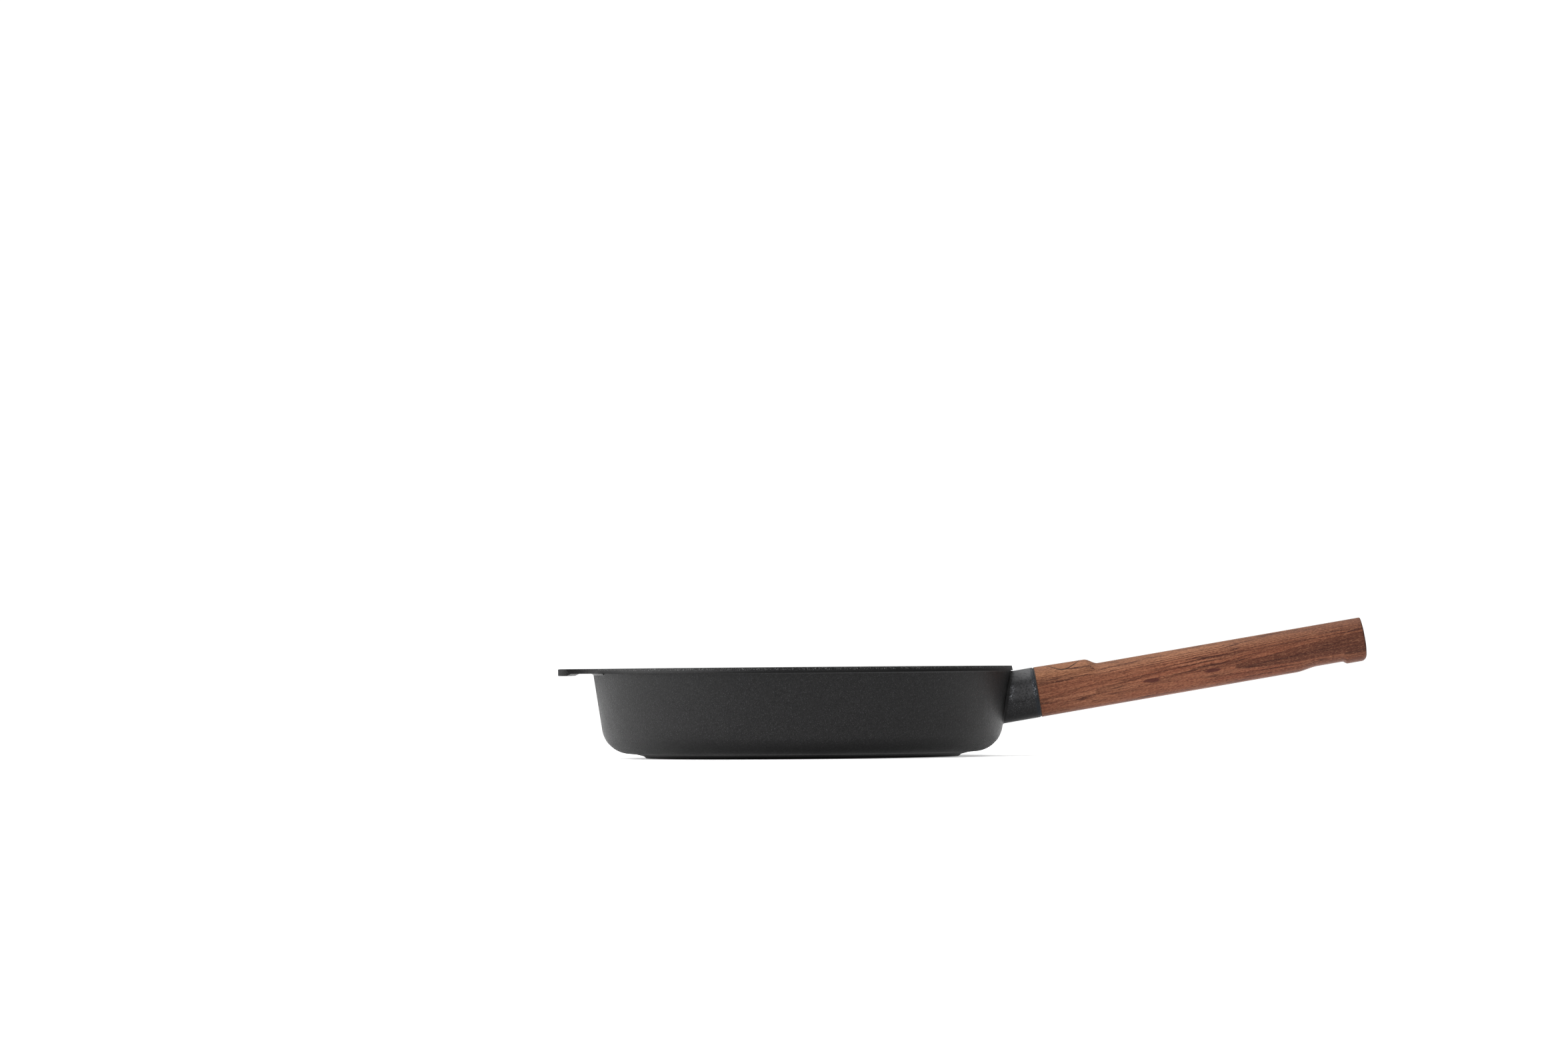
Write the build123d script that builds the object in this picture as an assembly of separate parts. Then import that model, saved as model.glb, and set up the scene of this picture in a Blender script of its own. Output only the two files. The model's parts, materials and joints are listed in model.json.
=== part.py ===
from build123d import *
import os
from math import atan2, cos, pi, radians, sin, sqrt, tan

# A deep cast iron skillet with a helper lip and a screwed-on wooden grip, in millimetres.
# +Z is up, the origin is the centre of the flat base, and the handle points along +X.

# --- driving dimensions: the bowl ---
RIM_RADIUS = 141.0        # outer edge of the rim band, at its foot
PAN_HEIGHT = 60.0
RIM_BAND = 3.1            # height of the band round the rim
RIM_BAND_LEAN = 0.7       # the band is this much narrower at its top
RIM_OVERHANG = 1.6        # how far the band stands out from the wall
RIM_INNER_ROUND = 1.2
WALL_DRAFT = 8.6          # degrees from vertical
WALL_THICKNESS = 4.0      # measured level
FLOOR_TOP = 6.4           # cooking surface above the table
CORNER_RADIUS = 19.0      # outside, between the wall and the sloping underside
INNER_CORNER_RADIUS = 15.0
UNDERSIDE_SLOPE = 5.0     # degrees
UNDERSIDE_START = (111.4, 2.7)
LAND_EDGE = (106.0, 1.4)  # top of the base disc's chamfer
BASE_RADIUS = 104.3       # flat disc that stands on the hob

# --- driving dimensions: the helper lip opposite the handle ---
LIP_REACH = 162.2         # from the pan's axis to the end of the lip
LIP_WIDTH = 68.0
LIP_CORNER = 9.0
LIP_ROOT_BLEND = 22.0
LIP_BEAD_DEPTH = 1.4      # the end of the lip is thicker by this, underneath
LIP_BEAD_WIDTH = 5.8      # along the lip's sides
LIP_BEAD_BULGE = 5.0      # the bead is this much wider at the middle
LIP_BEAD_SLOPE = 2.8      # from the bead's foot to the lip's underside, level
LIP_EDGE_ROUND = 0.5
LIP_WALL_BLEND = 1.5      # radius where the lip's underside meets the wall

# --- driving dimensions: the handle's outside ---
HANDLE_RISE = 9.41        # degrees above level
JOINT_X = 157.75          # where the handle's axis enters the grip
JOINT_Z = 39.93
GRIP_HEIGHT = 29.05
GRIP_WIDTH = 30.0
GRIP_LENGTH = 221.7
SECTION_ROUND = 12.0
PAD_HEIGHT = 4.5          # thumb pad above the rest of the grip, at the neck
PAD_FALL = 0.6            # lost along the pad's length
PAD_LENGTH = 33.8
PAD_SLOPE_END = 43.1
SCOOP_DEPTH = 1.8         # finger scoop under the far end
SCOOP_START = 172.3
SCOOP_FLOOR_START = 187.3
SCOOP_FLOOR_END = 203.9
SCOOP_END = 207.5
END_CROWN = 1.2
END_HEEL_ROUND = 3.8
NECK_BLEND = 1.5          # radius where the neck meets the bowl
NECK_EDGE_ROUND = 0.8     # at the neck's end face

# --- driving dimensions: the fixings inside the handle ---
FIT = 0.02                # all round, between pieces that are fixed together
RUNNING_GAP = 0.05        # between pieces that move on one another
GASKET_THICKNESS = 0.55
GASKET_INSET = 0.5
THREAD_RADIUS = 4.0       # M8
THREAD_ENGAGED = 12.5     # ten turns at 1.25 pitch
BUSH_RADIUS = 6.5
BUSH_LENGTH = 16.0
PIN_RADIUS = 2.0
PIN_LENGTH = 16.0         # half of it in the neck
PIN_OFFSET = (8.5, 6.5)   # across and up from the handle's axis
SLEEVE_RADIUS = 2.8
SLEEVE_LENGTH = 9.0
BORE_RADIUS = 4.6
CLIP_RADIUS = 5.9
CLIP_THICKNESS = 0.8
CLIP_FRONT = 0.8          # inside the grip's front face
CLIP_GAP = 60.0           # degrees
GROOVE_RADIUS = 3.3
CLIP_POCKET_RADIUS = 6.8
CLIP_POCKET_DEPTH = 2.2
HEAD_RADIUS = 6.5
HEAD_HEIGHT = 8.0
HEAD_RECESS = 3.0         # head inside the grip's end
HEX_ACROSS_FLATS = 6.0
HEX_DEPTH = 4.2
WASHER_RADIUS = 7.8
WASHER_HOLE = 4.2
WASHER_THICKNESS = 1.2
SPRING_THICKNESS = 0.8
SPRING_RISE = 0.5
CUP_RADIUS = 8.6
CUP_WALL = 0.6
CUP_FLOOR = 0.8
CUP_RECESS = 1.3          # cup's lip inside the grip's end

# --- worked out from those ---
GRIP_BOTTOM = -GRIP_HEIGHT / 2
GRIP_TOP = GRIP_HEIGHT / 2
BAND_FOOT = PAN_HEIGHT - RIM_BAND
WALL_TOP_RADIUS = RIM_RADIUS - RIM_OVERHANG
NECK_FACE = -GASKET_THICKNESS - RUNNING_GAP
BOLT_TIP = NECK_FACE - THREAD_ENGAGED
SLEEVE_BORE = PIN_RADIUS + RUNNING_GAP
HEAD_START = GRIP_LENGTH - HEAD_RECESS - HEAD_HEIGHT
WASHER_START = HEAD_START - RUNNING_GAP - WASHER_THICKNESS
SPRING_HEIGHT = SPRING_THICKNESS + SPRING_RISE
SPRING_START = WASHER_START - 2 * (SPRING_HEIGHT + FIT)
CUP_START = SPRING_START - FIT - CUP_FLOOR
CUP_LENGTH = GRIP_LENGTH - CUP_RECESS - CUP_START

rise = radians(HANDLE_RISE)
handle_plane = Plane(
    origin=(JOINT_X, 0, JOINT_Z), x_dir=(0, 1, 0), z_dir=(cos(rise), 0, sin(rise))
)


# --- helpers ---
def on_handle(shape):
    """Moves a shape from the handle's frame (X across, Y up, Z along the grip) to the pan's."""
    return handle_plane.location * shape


def bar(radius, start, length):
    """A round bar along the handle's axis."""
    upwards = (Align.CENTER, Align.CENTER, Align.MIN)
    return Pos(0, 0, start) * Cylinder(radius, length, align=upwards)


def tube(radius, hole, start, length):
    return bar(radius, start, length) - bar(hole, start - 1, length + 2)


def at_pins(shape):
    """The shape at both pin positions, one on each side of the bolt."""
    across, up = PIN_OFFSET
    return Pos(across, up, 0) * shape + Pos(-across, -up, 0) * shape


def turned(points):
    """A solid of revolution about Z from a closed outline in the XZ plane."""
    return revolve(make_face(Plane.XZ * Polyline(*points, close=True)), Axis.Z)


def circles_at(solid, point):
    """The solid's circular edges about Z through a point of its outline."""
    radius, height = point
    return [
        edge for edge in solid.edges().filter_by(GeomType.CIRCLE)
        if abs(edge.radius - radius) < 0.01 and abs(edge.arc_center.Z - height) < 0.01
    ]


# --- the bowl ---
def wall_radius(height, thickness=0.0):
    """Radius of the wall's outside at a height, or of a line this much further in."""
    return WALL_TOP_RADIUS - thickness - (BAND_FOOT - height) * tan(radians(WALL_DRAFT))


def outer_corner():
    """Where the wall's outside would meet the sloping underside without a radius."""
    draft, slope = tan(radians(WALL_DRAFT)), tan(radians(UNDERSIDE_SLOPE))
    start_radius, start_height = UNDERSIDE_START
    height = start_height + (wall_radius(0) - start_radius) * slope
    height /= 1 - draft * slope
    return wall_radius(height), height


def outer_bowl():
    corner = outer_corner()
    band_foot = (RIM_RADIUS, BAND_FOOT)
    band_top = (RIM_RADIUS - RIM_BAND_LEAN, PAN_HEIGHT)
    solid = turned([
        (0, 0), (BASE_RADIUS, 0), LAND_EDGE, UNDERSIDE_START, corner,
        (WALL_TOP_RADIUS, BAND_FOOT), band_foot, band_top, (0, PAN_HEIGHT),
    ])
    solid = fillet(circles_at(solid, corner), CORNER_RADIUS)
    return fillet(circles_at(solid, LAND_EDGE), 0.6)


def inner_bowl():
    """The space inside the wall, open at the top."""
    above = PAN_HEIGHT + 5
    foot = (wall_radius(FLOOR_TOP, WALL_THICKNESS), FLOOR_TOP)
    top = (wall_radius(above, WALL_THICKNESS), above)
    solid = turned([(0, FLOOR_TOP), foot, top, (0, above)])
    return fillet(circles_at(solid, foot), INNER_CORNER_RADIUS)


# --- the helper lip ---
def blend_centre():
    """Centre of the concave corner where one side of the lip runs into the round rim."""
    across = LIP_WIDTH / 2 + LIP_ROOT_BLEND
    return -sqrt((RIM_RADIUS + LIP_ROOT_BLEND)**2 - across**2), across


def root_blend():
    """The web inside that corner, from above."""
    side = LIP_WIDTH / 2
    centre_x, centre_y = blend_centre()
    to_rim = RIM_RADIUS / (RIM_RADIUS + LIP_ROOT_BLEND)
    touch = (centre_x * to_rim, centre_y * to_rim)
    middle_angle = (atan2(-centre_y, -centre_x) - pi / 2) / 2
    middle = (
        centre_x + LIP_ROOT_BLEND * cos(middle_angle),
        centre_y + LIP_ROOT_BLEND * sin(middle_angle),
    )
    start = (centre_x, side)
    blend = ThreePointArc(start, middle, touch)
    inside = [touch, (touch[0] + 6, side - 3), (centre_x, side - 3), start]
    return make_face(blend + Polyline(*inside))


def lean_cut():
    """What one side of the lip loses so that it leans in like the rim band."""
    centre_x, centre_y = blend_centre()
    middle_height = BAND_FOOT + RIM_BAND / 2
    corner = Cone(LIP_ROOT_BLEND, LIP_ROOT_BLEND + RIM_BAND_LEAN, RIM_BAND)
    side = LIP_WIDTH / 2
    wedge = Polyline(
        (side, BAND_FOOT), (side + 1, BAND_FOOT), (side + 1, PAN_HEIGHT),
        (side - RIM_BAND_LEAN, PAN_HEIGHT), close=True,
    )
    straight = extrude(Plane.YZ * make_face(wedge), -LIP_REACH - centre_x - 1)
    return Pos(centre_x, centre_y, middle_height) * corner + Pos(centre_x, 0, 0) * straight


def lip_bead():
    """The thicker end under the lip: its inner edge is an arc and slopes up to the lip's underside."""
    half, bulge = LIP_WIDTH / 2, LIP_BEAD_BULGE
    radius = (half**2 + bulge**2) / (2 * bulge)
    centre_x = -LIP_REACH + LIP_BEAD_WIDTH + bulge - radius
    bead = Cone(radius, radius + LIP_BEAD_SLOPE, LIP_BEAD_DEPTH)
    return Pos(centre_x, 0, BAND_FOOT - LIP_BEAD_DEPTH / 2) * bead


def lip_plan():
    length = LIP_REACH - RIM_RADIUS + 12
    plan = Pos(-LIP_REACH + length / 2, 0) * Rectangle(length, LIP_WIDTH)
    plan = fillet(plan.vertices().group_by(Axis.X)[0], LIP_CORNER)
    blend = root_blend()
    return plan + blend + mirror(blend, Plane.XZ)


def lip_web():
    """Fills the corner between the lip's underside and the wall with a concave radius."""
    size = LIP_WALL_BLEND
    out = (WALL_TOP_RADIUS + size, BAND_FOOT)
    down = (wall_radius(BAND_FOOT - size), BAND_FOOT - size)
    middle = (WALL_TOP_RADIUS + 0.25 * size, BAND_FOOT - 0.3 * size)
    inside = [down, (down[0] - 1, down[1]), (down[0] - 1, BAND_FOOT + 1), (out[0], BAND_FOOT + 1), out]
    outline = ThreePointArc(out, middle, down) + Polyline(*inside)
    return revolve(make_face(Plane.XZ * outline), Axis.Z)


def helper_lip():
    block = extrude(Pos(0, 0, BAND_FOOT - 5) * lip_plan(), RIM_BAND + 5)
    plate = extrude(Pos(0, 0, BAND_FOOT) * lip_plan(), RIM_BAND)
    lip = plate + (block & lip_bead())
    lip -= lean_cut()
    lip -= mirror(lean_cut(), Plane.XZ)
    levels = (PAN_HEIGHT, BAND_FOOT - LIP_BEAD_DEPTH)
    end_edges = [
        edge for edge in lip.edges()
        if edge.center().X < -LIP_REACH + 3
        and min(abs(edge.center().Z - level) for level in levels) < 0.01
    ]
    return fillet(end_edges, LIP_EDGE_ROUND) + (block & lip_web())


# --- the handle's outside ---
def section(top, bottom, inset=0.0):
    """The rounded cross-section shared by the neck and the grip."""
    width = GRIP_WIDTH - 2 * inset
    height = top - bottom - 2 * inset
    plan = RectangleRounded(width, height, SECTION_ROUND - inset)
    return Pos(0, (top + bottom) / 2) * plan


def ease(along, start, end):
    """0 before start, 1 after end, and level at both."""
    share = min(1.0, max(0.0, (along - start) / (end - start)))
    return (1 - cos(pi * share)) / 2


def grip_top(along):
    pad = PAD_HEIGHT - PAD_FALL * along / PAD_LENGTH
    return GRIP_TOP + pad * (1 - ease(along, PAD_LENGTH, PAD_SLOPE_END))


def grip_bottom(along):
    entry = ease(along, SCOOP_START, SCOOP_FLOOR_START)
    leave = ease(along, SCOOP_FLOOR_END, SCOOP_END)
    return GRIP_BOTTOM + SCOOP_DEPTH * (entry - leave)


def steps(start, end, count):
    return [start + (end - start) * i / count for i in range(count + 1)]


def end_keep():
    """Everything short of the grip's crowned end, with its lower corner rounded."""
    corner_along = GRIP_LENGTH - END_CROWN
    above, below = PAD_HEIGHT + GRIP_TOP + 5, GRIP_BOTTOM
    crown = ThreePointArc((GRIP_TOP, corner_along), (0, GRIP_LENGTH), (below, corner_along))
    rest = Polyline(
        (below, corner_along), (below, -5), (above, -5), (above, corner_along),
        (GRIP_TOP, corner_along),
    )
    keep = extrude(make_face(Plane.YZ * (crown + rest)), GRIP_WIDTH, both=True)
    heel = keep.edges().filter_by(Axis.X).sort_by(lambda edge: edge.center().Z - edge.center().Y)
    return fillet(heel[-1], END_HEEL_ROUND)


def wooden_grip():
    pad_slope = steps(PAD_LENGTH, PAD_SLOPE_END, 8)
    scoop_entry = steps(SCOOP_START, SCOOP_FLOOR_START, 5)
    scoop_leave = steps(SCOOP_FLOOR_END, SCOOP_END, 4)
    stations = [0.0] + pad_slope + scoop_entry + scoop_leave + [GRIP_LENGTH + 3]
    sections = [Pos(0, 0, z) * section(grip_top(z), grip_bottom(z)) for z in stations]
    grip = loft(sections, ruled=True) & end_keep()
    grip -= bar(BORE_RADIUS, -1, GRIP_LENGTH + 5)
    grip -= bar(CUP_RADIUS + FIT, CUP_START - FIT, CUP_LENGTH + 10)
    grip -= bar(CLIP_POCKET_RADIUS, -1, CLIP_POCKET_DEPTH + 1)
    return grip - at_pins(bar(SLEEVE_RADIUS + FIT, -1, SLEEVE_LENGTH + FIT + 1))


# --- the casting: bowl, lip and neck in one ---
def pan_casting():
    neck = extrude(Pos(0, 0, NECK_FACE) * section(grip_top(0), GRIP_BOTTOM), -40)
    neck = fillet(neck.edges().group_by(Axis.Z)[-1], NECK_EDGE_ROUND)
    body = outer_bowl() + on_handle(neck)
    neck_root = [
        edge for edge in body.edges()
        if edge.geom_type != GeomType.LINE and edge.center().X < RIM_RADIUS
        and edge.center().X > RIM_RADIUS - 10 and abs(edge.center().Y) < GRIP_WIDTH / 2 + 1
    ]
    body = fillet(neck_root, NECK_BLEND) + helper_lip()
    body -= inner_bowl()
    rim_inner = (wall_radius(PAN_HEIGHT, WALL_THICKNESS), PAN_HEIGHT)
    body = fillet(circles_at(body, rim_inner), RIM_INNER_ROUND)
    body -= on_handle(bar(BUSH_RADIUS + FIT, NECK_FACE - BUSH_LENGTH, BUSH_LENGTH + 1))
    pin_hole = bar(PIN_RADIUS + FIT, NECK_FACE - PIN_LENGTH / 2, PIN_LENGTH / 2 + 1)
    return body - on_handle(at_pins(pin_hole))


# --- pieces fixed to the neck ---
def thread_bush():
    """Smooth inside: its bore stands for the thread that the bolt runs in."""
    return tube(
        BUSH_RADIUS, THREAD_RADIUS + RUNNING_GAP, NECK_FACE - BUSH_LENGTH + FIT, BUSH_LENGTH - FIT
    )


def locating_pins():
    pin = bar(PIN_RADIUS, NECK_FACE - PIN_LENGTH / 2 + FIT, PIN_LENGTH - FIT)
    return at_pins(chamfer(pin.edges().group_by(Axis.Z)[-1], 0.5))


# --- pieces fixed to the grip ---
def heat_gasket():
    sheet = section(grip_top(0), GRIP_BOTTOM, GASKET_INSET)
    sheet = extrude(Pos(0, 0, -GASKET_THICKNESS) * sheet, GASKET_THICKNESS - FIT)
    sheet -= bar(BORE_RADIUS, -5, 10)
    return sheet - at_pins(bar(PIN_RADIUS + 0.2, -5, 10))


def pin_sleeves():
    return at_pins(tube(SLEEVE_RADIUS, SLEEVE_BORE, 0, SLEEVE_LENGTH))


def seat_cup():
    """A lined counterbore for the bolt's head."""
    cup = bar(CUP_RADIUS, CUP_START, CUP_LENGTH)
    cup -= bar(CUP_RADIUS - CUP_WALL, CUP_START + CUP_FLOOR, CUP_LENGTH)
    return cup - bar(BORE_RADIUS, CUP_START - 1, CUP_FLOOR + 2)


def spring_washers():
    """Two coned washers with their inner edges together."""
    def cone(low_inner, low_outer):
        thick = SPRING_THICKNESS
        return turned([
            (WASHER_HOLE, low_inner), (WASHER_RADIUS, low_outer),
            (WASHER_RADIUS, low_outer + thick), (WASHER_HOLE, low_inner + thick),
        ])
    lower = Pos(0, 0, SPRING_START) * cone(SPRING_RISE, 0)
    upper = Pos(0, 0, SPRING_START + SPRING_HEIGHT + FIT) * cone(0, SPRING_RISE)
    return lower + upper


def thrust_washer():
    return tube(WASHER_RADIUS, WASHER_HOLE, WASHER_START, WASHER_THICKNESS)


# --- the bolt, which turns ---
def tie_bolt():
    shank = bar(THREAD_RADIUS, BOLT_TIP, HEAD_START - BOLT_TIP)
    shank = chamfer(shank.edges().group_by(Axis.Z)[0], 0.8)
    shank -= tube(
        THREAD_RADIUS + 1, GROOVE_RADIUS, CLIP_FRONT - FIT, CLIP_THICKNESS + 2 * FIT
    )
    head = bar(HEAD_RADIUS, HEAD_START, HEAD_HEIGHT)
    head = chamfer(head.edges().group_by(Axis.Z)[-1], 0.6)
    hexagon = RegularPolygon(HEX_ACROSS_FLATS / 2, 6, major_radius=False)
    socket = extrude(Pos(0, 0, HEAD_START + HEAD_HEIGHT - HEX_DEPTH) * hexagon, HEX_DEPTH + 1)
    return shank + head - socket


def retaining_clip():
    """An open ring, pushed on sideways."""
    clip = tube(CLIP_RADIUS, GROOVE_RADIUS + FIT, CLIP_FRONT, CLIP_THICKNESS)
    half = radians(CLIP_GAP / 2)
    reach = 2 * CLIP_RADIUS
    corners = [(0, 0), (reach * sin(half), -reach * cos(half)), (-reach * sin(half), -reach * cos(half))]
    wedge = make_face(Polyline(*corners, close=True))
    return clip - extrude(Pos(0, 0, CLIP_FRONT - 1) * wedge, CLIP_THICKNESS + 2)


# --- export ---
os.makedirs("parts", exist_ok=True)
export_step(pan_casting(), "parts/pan_casting.step")
export_step(on_handle(thread_bush()), "parts/thread_bush.step")
export_step(on_handle(locating_pins()), "parts/locating_pins.step")
export_step(on_handle(wooden_grip()), "parts/wooden_grip.step")
export_step(on_handle(heat_gasket()), "parts/heat_gasket.step")
export_step(on_handle(pin_sleeves()), "parts/pin_sleeves.step")
export_step(on_handle(seat_cup()), "parts/seat_cup.step")
export_step(on_handle(spring_washers()), "parts/spring_washers.step")
export_step(on_handle(thrust_washer()), "parts/thrust_washer.step")
export_step(on_handle(tie_bolt()), "parts/tie_bolt.step")
export_step(on_handle(retaining_clip()), "parts/retaining_clip.step")
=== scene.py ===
import json
import math
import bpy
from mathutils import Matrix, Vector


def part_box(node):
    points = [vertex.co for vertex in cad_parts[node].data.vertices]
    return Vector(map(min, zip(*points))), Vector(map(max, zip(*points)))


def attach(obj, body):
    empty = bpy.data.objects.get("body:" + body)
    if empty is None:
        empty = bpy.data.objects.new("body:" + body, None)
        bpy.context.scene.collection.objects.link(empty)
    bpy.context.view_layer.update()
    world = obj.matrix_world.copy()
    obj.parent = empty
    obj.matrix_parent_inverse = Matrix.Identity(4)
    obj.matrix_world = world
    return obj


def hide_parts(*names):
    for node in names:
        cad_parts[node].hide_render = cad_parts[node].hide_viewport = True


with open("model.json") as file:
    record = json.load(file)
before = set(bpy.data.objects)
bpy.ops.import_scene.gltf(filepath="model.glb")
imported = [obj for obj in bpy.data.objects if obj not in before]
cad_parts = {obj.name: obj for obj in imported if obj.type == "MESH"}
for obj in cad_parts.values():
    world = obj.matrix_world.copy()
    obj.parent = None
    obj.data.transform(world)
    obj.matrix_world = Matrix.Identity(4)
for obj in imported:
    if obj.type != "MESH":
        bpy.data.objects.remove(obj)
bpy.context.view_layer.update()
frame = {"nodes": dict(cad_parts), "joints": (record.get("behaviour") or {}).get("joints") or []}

from types import SimpleNamespace

import bmesh
import bpy
import numpy as np
from mathutils import Matrix, Vector
from mathutils.geometry import delaunay_2d_cdt

# ---------------------------------------------------------------------------
# Sizes, in metres. Places come from the frame.
# ---------------------------------------------------------------------------
MM = 0.001
FULL_TURN = 2 * math.pi
BOLT_JOINT = next(j for j in frame["joints"] if j["name"] == "bolt_turn")
HANDLE_ORIGIN = Vector(BOLT_JOINT["pos_m"])
ALONG = Vector(BOLT_JOINT["axis"]).normalized()
ACROSS = Vector((0, 1, 0))
UP = ALONG.cross(ACROSS)
HANDLE = Matrix((
    (ACROSS.x, UP.x, ALONG.x, HANDLE_ORIGIN.x),
    (ACROSS.y, UP.y, ALONG.y, HANDLE_ORIGIN.y),
    (ACROSS.z, UP.z, ALONG.z, HANDLE_ORIGIN.z),
    (0, 0, 0, 1),
))


def in_handle_frame(node):
    """(lowest, highest) of a CAD node's points across, up and along the handle."""
    back = HANDLE.inverted()
    points = np.array([back @ v.co for v in frame["nodes"][node].data.vertices])
    return points.min(0), points.max(0)


# The grip. Its outer size comes from the CAD grip that it stands for.
GRIP_LOW, GRIP_HIGH = in_handle_frame("wooden_grip")
GRIP_HALF_WIDTH = float(GRIP_HIGH[0])
GRIP_HALF_HEIGHT = -float(GRIP_LOW[1])
GRIP_LENGTH = float(GRIP_HIGH[2])
SECTION_POWER = 2.6                     # 2 would be an ellipse, more is squarer
PAD_HEIGHT, PAD_FALL = float(GRIP_HIGH[1]) - GRIP_HALF_HEIGHT, 0.6 * MM
PAD_LENGTH, PAD_SLOPE_END = 33.8 * MM, 43.1 * MM
PAD_BLEND = 1 * MM                      # finer stations begin and end this far outside the pad's slope
SCOOP_DEPTH = 1.8 * MM
SCOOP_START, SCOOP_FLOOR_START = 172.3 * MM, 187.3 * MM
SCOOP_FLOOR_END, SCOOP_END = 203.9 * MM, 207.5 * MM
END_CROWN = 1.2 * MM
END_EDGE, END_HEEL = 0.8 * MM, 3.8 * MM
CROWN_SHARES = (0.12, 0.3, 0.5, 0.7, 0.86, 1.0)    # rings from the end's edge to the cup's mouth
FRONT_EDGE = 0.25 * MM
GRIP_AROUND, SECTION_STEPS, END_STEPS = 160, 720, 9

# Openings in the grip
CLIP_POCKET_RADIUS, CLIP_POCKET_DEPTH = 6.8 * MM, 2.2 * MM
BORE_RADIUS = 4.6 * MM
CUP_RADIUS = 8.62 * MM
CUP_SEAT = 205.97 * MM                  # place along the grip where the cup rests
CUP_MOUTH_EDGE, CUP_MOUTH_DROP, CUP_MOUTH_BEVEL = 0.35 * MM, 0.1 * MM, 0.4 * MM
SLEEVE_RADIUS, SLEEVE_LENGTH, SLEEVE_AROUND = 2.82 * MM, 9.0 * MM, 40
PIN_OFFSET = (8.5 * MM, 6.5 * MM)

# The bolt, along the handle from the joint
THREAD_RADIUS, THREAD_PITCH = 4.0 * MM, 1.25 * MM
THREAD_DEPTH = 0.68 * MM
THREAD_CREST, THREAD_FLANK = 0.08, 0.34            # shares of the pitch
BOLT_TIP, TIP_LENGTH, TIP_DROP = -13.1 * MM, 0.9 * MM, 0.85 * MM
TIP_FACE = 0.6                                     # share of the tip's radius that is flat
THREAD_END, THREAD_RUNOUT = 12.0 * MM, 1.5 * MM
GROOVE_START, GROOVE_END, GROOVE_RADIUS = 0.78 * MM, 1.62 * MM, 3.3 * MM
GROOVE_WALL = 0.01 * MM                            # length over which the groove's sides rise
HEAD_START, HEAD_HEIGHT, HEAD_RADIUS = 210.7 * MM, 8.0 * MM, 6.5 * MM
HEAD_FILLET, KNURL_DEPTH = 0.4 * MM, 0.22 * MM
HEX_FLAT, HEX_DEPTH = 6.0 * MM, 4.2 * MM
HEX_BEVEL, HEX_BEVEL_DEPTH = 0.7 * MM, 0.45 * MM
DRILL_RADIUS, DRILL_DEPTH = 0.4 * MM, 1.2 * MM
BOLT_AROUND, STEPS_PER_PITCH = 64, 14

# The casting, for its material
RIM_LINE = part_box("pan_casting")[1].z - 3.1 * MM     # lower edge of the rim's turned face
RIM_RADIUS = float(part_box("pan_casting")[1].y)
NECK_START = RIM_RADIUS - 0.8 * MM                   # where the neck leaves the wall, under the rim
WALL_LEAN = 0.135                                    # how far the wall goes inwards for each step down
COOKING_LEVEL = 6.4 * MM                             # height of the pan's floor inside
FOOT_SHADE_TOP = 14 * MM                                   # how far up the wall the painted foot shade reaches
CORNER_SHADE_START, CORNER_SHADE_FULL = 110 * MM, 128 * MM       # where the painted shade in the corner beside the neck builds up
FLOOR_TURNING, RIM_TURNING = 1.1 * MM, 0.7 * MM      # feed of the lathe

# The wood, for its material
SEAL_ALONG = 19.6 * MM                               # centre of the burnt rings on the thumb pad
SEAL_RADIUS, SEAL_INNER = 11.85 * MM, 3.6 * MM
# The tree that the grip was cut from: its pith lay beside the grip, and the trunk tapered.
PITH_ACROSS = -45 * MM
RING_STEP = 1.2 * MM
TRUNK_TAPER = 0.020
PEAK_ALONG, PEAK_UP = 115 * MM, -7.5 * MM            # sets the tip of the pointed grain figure on the side
PEAK_CLIMB = 0.03
# Along, up, half length and half height of each dark mark
KNOTS = ((76.3 * MM, -2.9 * MM, 6.2 * MM, 1.5 * MM), (117.3 * MM, -3.5 * MM, 5.8 * MM, 1.2 * MM))

# The studio
FLOOR_RADIUS, FLOOR_ROWS, FLOOR_AROUND = 0.9, 12, 96
FLOOR_DROP = 0.1 * MM                                # keeps the floor just clear of the pan's base
FLOOR_GLOW = 0.45
WORLD_LOW, WORLD_HIGH, WORLD_LEFT, WORLD_SEEN = 0.35, 0.76, 4.5, 1.1
LEFT_GLOW = (-1, -0.18, 0.36)
CAMERA_PLACE = (-0.01107, -5.5, 0.071)
CAMERA_PITCH, CAMERA_ROLL = math.radians(0.8947), math.radians(-0.475)
CAMERA_LENS, CAMERA_SENSOR = 188.96, 36


# ---------------------------------------------------------------------------
# Mesh helpers
# ---------------------------------------------------------------------------
class Skin:
    """Points and faces of a mesh that is made of closed rings of points."""

    def __init__(self):
        self.verts, self.faces = [], []

    def ring(self, points):
        start = len(self.verts)
        self.verts.extend(points)
        return list(range(start, start + len(points)))

    def bridge(self, a, b):
        for i in range(len(a)):
            j = (i + 1) % len(a)
            self.faces.append((a[i], a[j], b[j], b[i]))

    def tube(self, rings):
        """Adds the rings, joins each to the next, and returns their point numbers."""
        numbers = [self.ring(ring) for ring in rings]
        for a, b in zip(numbers, numbers[1:]):
            self.bridge(a, b)
        return numbers


def on_handle(across, up, along):
    return HANDLE @ Vector((across, up, along))


def polar(radius, angle):
    return radius * math.cos(angle), radius * math.sin(angle)


def mesh_object(name, verts, faces):
    mesh = bpy.data.meshes.new(name)
    mesh.from_pydata([tuple(v) for v in verts], [], faces)
    mesh.validate()
    mesh.shade_smooth()
    obj = bpy.data.objects.new(name, mesh)
    bpy.context.scene.collection.objects.link(obj)
    return obj


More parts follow.
